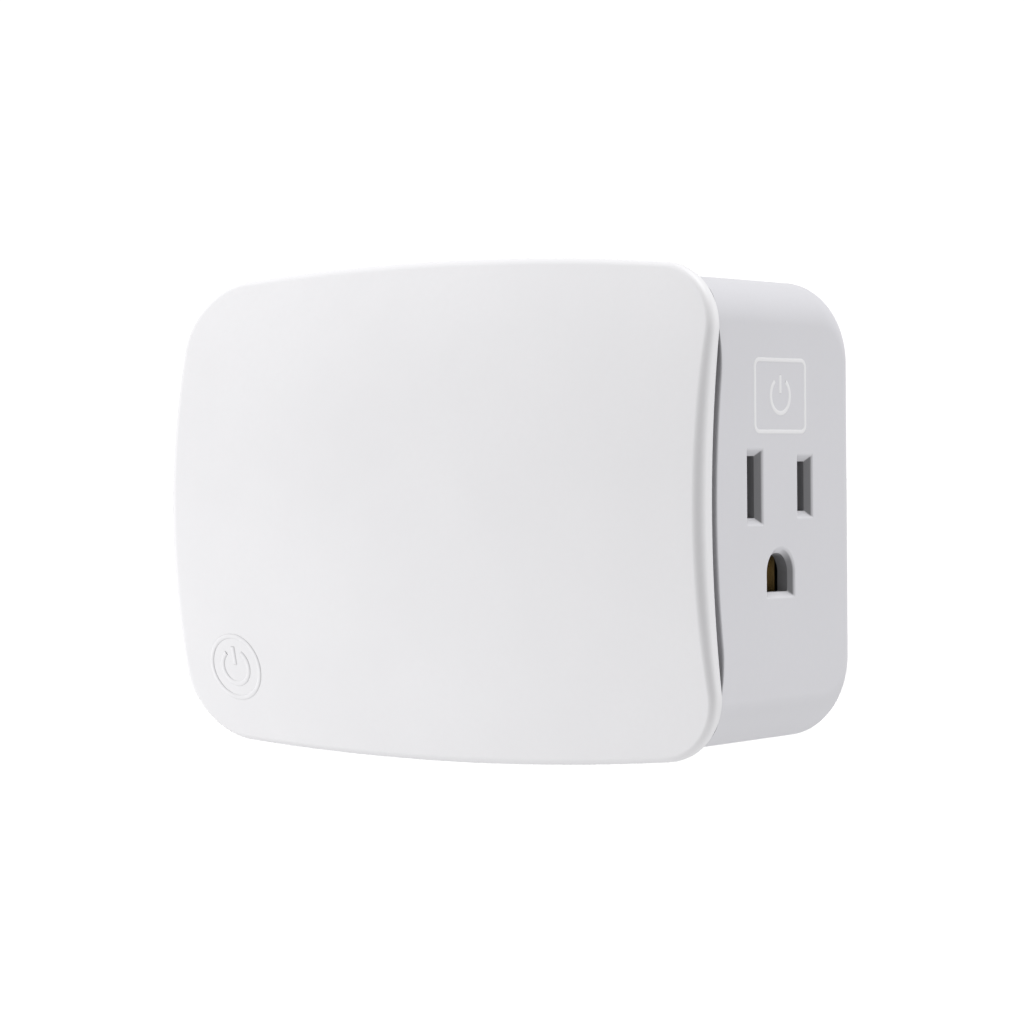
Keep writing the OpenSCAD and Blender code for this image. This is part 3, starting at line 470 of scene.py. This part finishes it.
# The cover's own measures, as the CAD model has them
FACE_SAG = 6.8 * MM
FACE_SIDE_SAG = 0.6 * MM
RIM_SAG = 5.1 * MM
RIM_T = 3.0 * MM
TOP_BOW = 2.57 * MM
SIDE_BOW = 0.4 * MM
CORNER_R = 9.7 * MM
EDGE_SHARE = 0.5
SKIN_SHARE = 0.62
RIM_W = 2.2 * MM
RIM_SLOPE = 0.6 * MM
RIM_SOFT = 0.35 * MM
COVER_HW = COVER_HIGH.x
COVER_HH = COVER_HIGH.z
FRONT = COVER_LOW.y

CORNER_STEPS = 24
LONG_STEPS = 72
SHORT_STEPS = 52


def cover_outline(inset):
    """The cover's outline drawn in by inset, as x and z, and bowed towards the middle of each edge."""
    r = max(CORNER_R - inset, 0.5 * MM)
    u, v = COVER_HW - inset - r, COVER_HH - inset - r
    corners = [arc(r, start, 90, CORNER_STEPS, (x, z))
               for x, z, start in ((u, v, 0), (-u, v, 90), (-u, -v, 180), (u, -v, 270))]
    points = []
    for i, corner in enumerate(corners):
        after = corners[(i + 1) % 4][0]
        steps = LONG_STEPS if i % 2 == 0 else SHORT_STEPS
        points += list(corner)
        points += [corner[-1] + (after - corner[-1]) * k / steps for k in range(1, steps)]
    p = np.array(points)
    x = p[:, 0] * (1 - SIDE_BOW / COVER_HW * (p[:, 1] / COVER_HH) ** 2)
    z = p[:, 1] * (1 - TOP_BOW / COVER_HH * (p[:, 0] / COVER_HW) ** 2)
    return np.column_stack([x, z])


def face_depth(p):
    return FRONT + FACE_SIDE_SAG * (p[:, 0] / COVER_HW) ** 2 + FACE_SAG * (p[:, 1] / COVER_HH) ** 2


def rim_depth(p):
    return FRONT + FACE_SIDE_SAG + RIM_T + RIM_SAG * (p[:, 1] / COVER_HH) ** 2


def skin_depth(p):
    return face_depth(p) + SKIN_SHARE * (rim_depth(p) - face_depth(p))


def at_depth(p, y):
    return np.column_stack([p[:, 0], np.broadcast_to(y, len(p)), p[:, 1]])


def edge_ring(angle):
    """A ring on the cover's rounded edge, from angle 0 at the face to 90 degrees at the side."""
    edge = cover_outline(0.0)
    inwards = (cover_outline(MM) - edge) / MM
    r = EDGE_SHARE * (rim_depth(edge) - face_depth(edge))
    p = edge + inwards * (r * (1 - math.sin(angle)))[:, None]
    return at_depth(p, face_depth(p) + r * (1 - math.cos(angle)))


def cover_shell():
    face_ring = edge_ring(0.0)[:, [0, 2]]
    skin_ring = cover_outline(RIM_W + RIM_SLOPE)
    shares = np.linspace(0.04, 1.0, 30)[:-1]
    rings = [at_depth(face_ring * s, face_depth(face_ring * s)) for s in shares]
    rings += [edge_ring(a) for a in np.radians(np.linspace(0.0, 90.0, 15))]
    for a in np.radians(np.linspace(0.0, 90.0, 6)):
        p = cover_outline(RIM_SOFT * (1 - math.cos(a)))
        rings.append(at_depth(p, rim_depth(p) - RIM_SOFT * (1 - math.sin(a))))
    rim = cover_outline(RIM_W)
    rings.append(at_depth(rim, rim_depth(rim)))
    rings.append(at_depth(skin_ring, skin_depth(skin_ring)))
    rings += [at_depth(skin_ring * s, skin_depth(skin_ring * s)) for s in shares[::-3]]
    return loft("cover_moulding", rings, "fan")


WALL_T = 2.4 * MM
HOUSING_CORNER_R = 6.4 * MM
SKIRT_CLEAR = 0.1 * MM
SKIRT_T = 1.6 * MM
SKIRT_REAR = -29.6 * MM
BOARD_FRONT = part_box("main_board")[0].y
BOARD_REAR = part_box("main_board")[1].y
POST_X = 29 * MM
POST_Z = 23 * MM
POSTS = [(sx * POST_X, sz * POST_Z) for sx in (-1, 1) for sz in (-1, 1)]
COVER_POST_R = 3.6 * MM
SCREW_BORE_R = 1.5 * MM
BORE_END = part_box("housing_screws")[0].y - 0.2 * MM
SUNK = 1.0 * MM


def inside_outline(inset):
    """The inside of the housing's walls as seen from the front, as x and z, when they are this thick."""
    w, h = 2 * (HOUSING_HIGH.x - inset), 2 * (HOUSING_HIGH.z - inset)
    return rounded_box(w, h, HOUSING_CORNER_R - inset, steps=12)


def divided(outline, count=8):
    """The same outline, with its long straight stretches cut into this many."""
    points = []
    for p, q in zip(outline, np.roll(outline, -1, axis=0)):
        n = count if np.linalg.norm(q - p) > 5 * MM else 1
        points += [p + (q - p) * k / n for k in range(n)]
    return np.array(points)


def cover_skirt():
    """The skirt that slides into the housing, sunk a little into the back of the cover."""
    outer = divided(inside_outline(WALL_T + SKIRT_CLEAR))
    inner = divided(inside_outline(WALL_T + SKIRT_CLEAR + SKIRT_T))
    return loft("skirt", [at_depth(outer, face_depth(outer) + SUNK), at_depth(outer, SKIRT_REAR),
                          at_depth(inner, SKIRT_REAR), at_depth(inner, face_depth(inner) + SUNK)], "loop")


def cover_post(x, z):
    """A post for a screw, sunk a little into the back of the cover."""
    p = np.array([x, z]) + disc(COVER_POST_R)
    return loft("post", [at_depth(p, face_depth(p) + SUNK), at_depth(p, BOARD_FRONT)])


def screw_bore(x, z):
    p = np.array([x, z]) + disc(SCREW_BORE_R)
    return loft("bore", [at_depth(p, BORE_END), at_depth(p, BOARD_FRONT + PAST)])


def make_cover():
    cover = combined(cover_shell(), [cover_skirt()] + [cover_post(x, z) for x, z in POSTS], "UNION")
    combined(cover, [screw_bore(x, z) for x, z in POSTS], "DIFFERENCE")
    finished(cover, "cover_white")
    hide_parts("front_cover")


make_cover()

# ---------- marks ----------

# Both marks are this model's own: a power symbol in a ring on the cover, and one in a frame on the side
EMBLEM_X = -37.0 * MM
EMBLEM_Z = -23.0 * MM
EMBLEM_R = 5.0 * MM
EMBLEM_RAISE = 0.08 * MM
EMBLEM_ROOT = 0.25 * MM
EMBLEM_LINE = 0.75 * MM
EMBLEM_RING_LINE = 0.7 * MM


def ridge(name, path, width, place, closed=False, steps=6):
    """A raised line with a round back along a path. The function place takes u, v and height from -1 to 1."""
    path = np.asarray(path)
    ahead, behind = np.roll(path, -1, axis=0), np.roll(path, 1, axis=0)
    if not closed:
        ahead[-1], behind[0] = path[-1], path[0]
    along = ahead - behind
    along /= np.linalg.norm(along, axis=1)[:, None]
    across = np.column_stack([-along[:, 1], along[:, 0]])
    turns = np.radians(np.linspace(0, 180, steps + 1))
    section = [(-0.5, -1.0)] + [(-0.5 * math.cos(t), math.sin(t)) for t in turns] + [(0.5, -1.0)]
    rings = [[place(*(p + side * width * s), h) for s, h in section] for p, side in zip(path, across)]
    return loft(name, rings, "loop" if closed else "face")


def power_symbol(name, r, width, place):
    """A broken ring with a bar in its gap."""
    ring = ridge(name, arc(r, 125, 290, 48), width, place)
    bar = ridge(name, [(0.0, 0.15 * r + k * 0.13 * r) for k in range(9)], width, place)
    return combined(ring, [bar], "UNION")


def on_face(u, v, height):
    """A point over the cover's face: height 1 is the top of the mark, and below 0 is inside the cover."""
    p = np.array([[EMBLEM_X + u, EMBLEM_Z + v]])
    lift = EMBLEM_RAISE * height if height > 0 else EMBLEM_ROOT * height
    return (p[0, 0], face_depth(p)[0] - lift, p[0, 1])


def make_emblem():
    emblem = power_symbol("cover_emblem", 0.5 * EMBLEM_R, EMBLEM_LINE, on_face)
    ring = disc(EMBLEM_R - 0.4 * MM, steps=96)
    combined(emblem, [ridge("cover_emblem_ring", ring, EMBLEM_RING_LINE, on_face, closed=True)], "UNION")
    finished(emblem, "cover_white", 60.0)


make_emblem()

# ---------- housing ----------

# The housing's own measures, as the CAD model has them
BODY_HW = HOUSING_HIGH.x
BODY_HH = HOUSING_HIGH.z
REAR_R = 8.0 * MM
SIDE_FILLET = 2.3 * MM
DRAFT = 0.2 * MM
REVEAL = 0.04 * MM
VENT_GAP = 2.4 * MM
VENT_HH = 26.6 * MM
VENT_TAPER = 8.6 * MM
VENT_PAST = 0.05 * MM
OPEN_FRONT = -42 * MM
POST_R = 4.2 * MM
SHANK_BORE_R = 1.7 * MM
HEAD_BORE_R = 3.1 * MM
HEAD_SEAT = -20 * MM
RIB_X = 34 * MM
RIB_LEN = 16 * MM
RIB_T = 1.2 * MM
RIB_Z = (-9 * MM, 5 * MM)
BLOCK_LOW, BLOCK_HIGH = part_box("right_outlet_block")
EDGE_LIP = 0.35 * MM
SLOT_LIP = 0.18 * MM


def front_edge(z):
    return FRONT + FACE_SIDE_SAG + RIM_T + REVEAL + RIM_SAG * (z / COVER_HH) ** 2


def rear_corners(inset, back, steps=28):
    """The housing's round corners at the wall, from the bottom's front end to the top's, as y and z."""
    r = REAR_R - back
    y, z = -back - r, BODY_HH - DRAFT - inset - r
    return np.vstack([arc(r, -90, 90, steps, (y, -z)), arc(r, 0, 90, steps, (y, z))])


def side_view(inset, back, steps=40):
    """The housing from the side, drawn in by inset at the top and bottom and by back at the wall."""
    z = (BODY_HH - inset) * (1 - 2 * np.arange(steps + 1) / steps)
    return np.vstack([rear_corners(inset, back), np.column_stack([front_edge(z), z])])


def swept_x(name, cuts):
    """A solid through side views at these places along X."""
    return loft(name, [[(x, y, z) for y, z in view] for x, view in cuts])


def housing_blank():
    turns = np.radians(np.concatenate([np.linspace(0, 45, 13), np.linspace(49, 90, 11)]))
    x = BODY_HW - HOUSING_CORNER_R * (1 - np.cos(turns))
    inset = HOUSING_CORNER_R * (1 - np.sin(turns))
    back = SIDE_FILLET - np.sqrt(SIDE_FILLET ** 2 - np.maximum(0, x - BODY_HW + SIDE_FILLET) ** 2)
    right = [(px, side_view(i, b)) for px, i, b in zip(x, inset, back)]
    return swept_x("housing_moulding", right + [(-px, view) for px, view in reversed(right)])


def housing_cavity():
    """The room inside the walls: the side view, open at the front, within the round-cornered front view."""
    front = [(OPEN_FRONT, BODY_HH - WALL_T), (OPEN_FRONT, WALL_T - BODY_HH)]
    view = np.vstack([rear_corners(WALL_T, WALL_T), front])
    room = swept_x("cavity", [(BODY_HW, view), (-BODY_HW, view)])
    outline = inside_outline(WALL_T)
    walls = loft("walls", [at_depth(outline, OPEN_FRONT), at_depth(outline, PAST)])
    return combined(room, [walls], "INTERSECT")


def standing(name, outline, x, z, front):
    """A part that stands on the inside of the back wall, up to this depth."""
    p = outline + np.array([x, z])
    return loft(name, [at_depth(p, front), at_depth(p, SUNK - WALL_T)])


def vent(side):
    """A notch along the front edge of a side wall. It runs out at both ends and its outer edge is round."""
    z = VENT_HH * np.linspace(-1, 1, 81)
    share = np.sin(0.5 * math.pi * np.clip((VENT_HH - np.abs(z)) / VENT_TAPER, 0, 1))

    def outline(grow):
        y = front_edge(z) - VENT_PAST + (VENT_GAP - REVEAL + VENT_PAST + grow) * share
        return np.vstack([np.column_stack([y, z]), [(OPEN_FRONT, VENT_HH), (OPEN_FRONT, -VENT_HH)]])

    return hole("vent", outline, flared(6 * MM, 0.0, EDGE_LIP), lambda u, v, d: (side * (BODY_HW + d), u, v))


OUTLET_Y = 0.5 * (BLOCK_LOW.y + BLOCK_HIGH.y)
OUTLET_Z = 3.3 * MM
BLADE_GAP = 12.7 * MM
GROUND_DROP = 11.9 * MM
NEUTRAL_SLOT_H = 8.5 * MM
LINE_SLOT_H = 6.9 * MM
SLOT_W = 2.15 * MM
SLOT_BEVEL = 0.95 * MM
GROUND_SLOT_R = 2.8 * MM
GROUND_SLOT_LOW = 2.6 * MM
GROUND_BEVEL = 0.8 * MM
THROUGH = WALL_T + PAST
BUTTON_LIP = 0.25 * MM
PIPE_LIP = 0.15 * MM
HEAD_LIP = 0.3 * MM
FINE_LIP = 0.1 * MM


def ground_outline(grow, steps=32, corner=0.25 * MM):
    """A round top over a flat bottom."""
    r, low = GROUND_SLOT_R + grow, GROUND_SLOT_LOW + grow
    return np.vstack([arc(r, 0, 180, steps), arc(corner, 180, 90, 4, (corner - r, corner - low)),
                      arc(corner, 270, 90, 4, (r - corner, corner - low))])


def outlet_holes(side):
    def place(u, v, d):
        return (side * (BODY_HW + d), OUTLET_Y + side * u, OUTLET_Z + v)

    holes = []
    for u, h in ((-BLADE_GAP / 2, NEUTRAL_SLOT_H), (BLADE_GAP / 2, LINE_SLOT_H)):
        holes.append(hole("slot", lambda grow: mitred_box(SLOT_W, h, 0.15 * MM, grow) + np.array([u, 0]),
                          flared(THROUGH, SLOT_BEVEL, SLOT_LIP), place))
    holes.append(hole("ground", lambda grow: ground_outline(grow) - np.array([0, GROUND_DROP]),
                      flared(THROUGH, GROUND_BEVEL, SLOT_LIP), place))
    return holes


BUTTON_Z = 17.5 * MM
BUTTON_W = 6.6 * MM
BUTTON_H = 12.6 * MM
BUTTON_CLEAR = 0.2 * MM
PIPE_Z = 26.6 * MM
PIPE_R = 1.0 * MM
LABEL_LOW, LABEL_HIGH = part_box("rating_label")
LABEL_ROOM = 0.3 * MM
LABEL_RECESS = 0.25 * MM
PLUG_Z = 18 * MM
BLADE_SIZE = (1.7 * MM, 6.55 * MM)
PIN_SEAT_R = 2.6 * MM


def control_holes():
    """The button's opening and the light pipe's hole, in the left side face."""
    w, h = BUTTON_W + 2 * BUTTON_CLEAR, BUTTON_H + 2 * BUTTON_CLEAR

    def place(u, v, d):
        return (-BODY_HW - d, OUTLET_Y - u, v)

    pill = hole("button_hole", lambda grow: rounded_box(w, h, w / 2, grow, 16) + np.array([0, BUTTON_Z]),
                flared(THROUGH, 0.0, BUTTON_LIP), place)
    pipe = hole("pipe_hole", lambda grow: disc(PIPE_R, grow) + np.array([0, PIPE_Z]),
                flared(THROUGH, 0.0, PIPE_LIP), place)
    return [pill, pipe]


def back_holes():
    """What is cut into the back: the screws' bores, the label's recess, and the plug's slots and pin hole."""
    def bore(name, outline, walls, x, z):
        return hole(name, outline, walls, lambda u, v, d: (x + u, d, z + v))

    holes = [bore("head", lambda grow: disc(HEAD_BORE_R, grow), flared(-HEAD_SEAT, 0.0, HEAD_LIP), x, z)
             for x, z in POSTS]
    shank = ((BOARD_REAR - PAST, 0), (HEAD_SEAT + PAST, 0))
    holes += [bore("shank", lambda grow: disc(SHANK_BORE_R), shank, x, z) for x, z in POSTS]
    w = LABEL_HIGH.x - LABEL_LOW.x + 2 * LABEL_ROOM
    h = LABEL_HIGH.z - LABEL_LOW.z + 2 * LABEL_ROOM
    x, z = 0.5 * (LABEL_LOW.x + LABEL_HIGH.x), 0.5 * (LABEL_LOW.z + LABEL_HIGH.z)
    holes.append(bore("recess", lambda grow: rounded_box(w, h, 0.8 * MM, grow),
                      flared(LABEL_RECESS, 0.0, FINE_LIP), x, z))
    for s in (-1, 1):
        holes.append(bore("blade", lambda grow: rounded_box(*BLADE_SIZE, 0.1 * MM, grow),
                          flared(THROUGH, 0.0, FINE_LIP), s * BLADE_GAP / 2, PLUG_Z))
    holes.append(bore("pin", lambda grow: disc(PIN_SEAT_R), ((-THROUGH, 0), (PAST, 0)),
                      0, PLUG_Z - GROUND_DROP))
    return holes


def make_housing():
    housing = combined(housing_blank(), [housing_cavity()], "DIFFERENCE")
    rib = rounded_box(RIB_LEN, RIB_T, 0.2 * MM)
    insides = [standing("post", disc(POST_R), x, z, BOARD_REAR) for x, z in POSTS]
    insides += [standing("rib", rib, sx * RIB_X, z, BLOCK_HIGH.y) for sx in (-1, 1) for z in RIB_Z]
    combined(housing, insides, "UNION")
    cuts = [vent(1), vent(-1)] + outlet_holes(1) + outlet_holes(-1) + control_holes() + back_holes()
    combined(housing, cuts, "DIFFERENCE")
    finished(housing, "housing_grey", 30.0)
    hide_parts("housing")


make_housing()

# ---------- printed panel ----------

PANEL_Y = -18.9 * MM
PANEL_Z = 15.8 * MM
PANEL_W = 13.3 * MM
PANEL_H = 10.4 * MM
PANEL_LINE = 0.55 * MM
PANEL_RAISE = 0.04 * MM
PANEL_SYMBOL_R = 2.4 * MM
PANEL_SYMBOL_LINE = 0.6 * MM


def on_side(u, v, height):
    """A point over the right side face: height 1 is the top of the print, and below 0 is inside the wall."""
    return (BODY_HW + PANEL_RAISE * height, PANEL_Y + u, PANEL_Z + v)


def make_panel():
    frame_line = rounded_box(PANEL_W - PANEL_LINE, PANEL_H - PANEL_LINE, 1.0 * MM, steps=10)
    panel = ridge("side_panel", frame_line, PANEL_LINE, on_side, closed=True)
    combined(panel, [power_symbol("panel_symbol", PANEL_SYMBOL_R, PANEL_SYMBOL_LINE, on_side)], "UNION")
    finished(panel, "cover_white", 60.0)


make_panel()

# ---------- small CAD parts ----------

ROUNDING = {
    "button_cap": 0.3 * MM,
    "line_blade": 0.2 * MM,
    "neutral_blade": 0.2 * MM,
    "ground_pin": 0.1 * MM,
    "housing_screws": 0.15 * MM,
    "right_outlet_block": 0.15 * MM,
    "left_outlet_block": 0.15 * MM,
}
for name, width in ROUNDING.items():
    softened(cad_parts[name], width)

# ---------- stage and light ----------

FLOOR_Z = -0.13
FLOOR_HALF = 20
SKY_HIGH = 0.35
SKY_LOW = 0.73
SKY_SEEN = 1.1
LIGHT_TARGET = Vector((0.0, -0.02, 0.0))


def make_floor():
    corners = [(sx * FLOOR_HALF, sy * FLOOR_HALF, 0) for sx, sy in ((-1, -1), (1, -1), (1, 1), (-1, 1))]
    floor = mesh_object("floor", corners, [(0, 1, 2, 3)])
    floor.location.z = FLOOR_Z
    floor.data.materials.append(plastic("floor_paint", (0.93, 0.93, 0.93), 0.7, 3 * MM, 0.01 * MM, 0.003))
    floor.visible_diffuse = False
    floor.visible_glossy = False
    floor.visible_shadow = False


def make_sky():
    """A plain bright studio, weaker from above than from below, and white where the camera sees it."""
    world = bpy.data.worlds.new("studio")
    world.use_nodes = True
    tree = world.node_tree
    sky = tree.nodes["Background"]
    place = tree.nodes.new("ShaderNodeTexCoord")
    parts = tree.nodes.new("ShaderNodeSeparateXYZ")
    tree.links.new(place.outputs["Generated"], parts.inputs["Vector"])
    slope = tree.nodes.new("ShaderNodeMapRange")
    for name, number in (("From Min", -1.0), ("From Max", 1.0), ("To Min", SKY_LOW), ("To Max", SKY_HIGH)):
        slope.inputs[name].default_value = number
    tree.links.new(parts.outputs["Z"], slope.inputs["Value"])
    path = tree.nodes.new("ShaderNodeLightPath")
    seen = tree.nodes.new("ShaderNodeMapRange")
    seen.inputs["To Max"].default_value = SKY_SEEN
    tree.links.new(path.outputs["Is Camera Ray"], seen.inputs["Value"])
    tree.links.new(slope.outputs["Result"], seen.inputs["To Min"])
    tree.links.new(seen.outputs["Result"], sky.inputs["Strength"])
    sky.inputs["Color"].default_value = (1.0, 1.0, 1.0, 1.0)
    bpy.context.scene.world = world
    bpy.context.scene.view_settings.view_transform = "Standard"


def add_light(name, kind, azimuth, elevation, distance):
    """A light that looks at the middle of the object from this direction, in degrees."""
    light = bpy.data.objects.new(name, bpy.data.lights.new(name, kind))
    bpy.context.scene.collection.objects.link(light)
    way = toward(azimuth, elevation)
    light.location = LIGHT_TARGET + distance * way
    light.rotation_euler = way.to_track_quat("Z", "Y").to_euler()
    return light.data


def add_area(name, azimuth, elevation, distance, wide, tall, share):
    """A soft box that lights the object with this share of what a white sky all round would give."""
    data = add_light(name, "AREA", azimuth, elevation, distance)
    data.shape = "RECTANGLE"
    data.size = wide
    data.size_y = tall
    data.energy = share * math.pi ** 2 * distance ** 2


def make_light():
    make_sky()
    add_area("left", -52, 2, 0.6, wide=0.4, tall=1.2, share=1.14)
    add_area("right", 122, -20, 1.6, wide=1.2, tall=1.2, share=0.38)
    top = add_light("top", "SUN", 145, 75, 2.0)
    top.energy = 0.8 * math.pi
    top.angle = math.radians(25)


make_floor()
make_light()

bpy.context.view_layer.update()
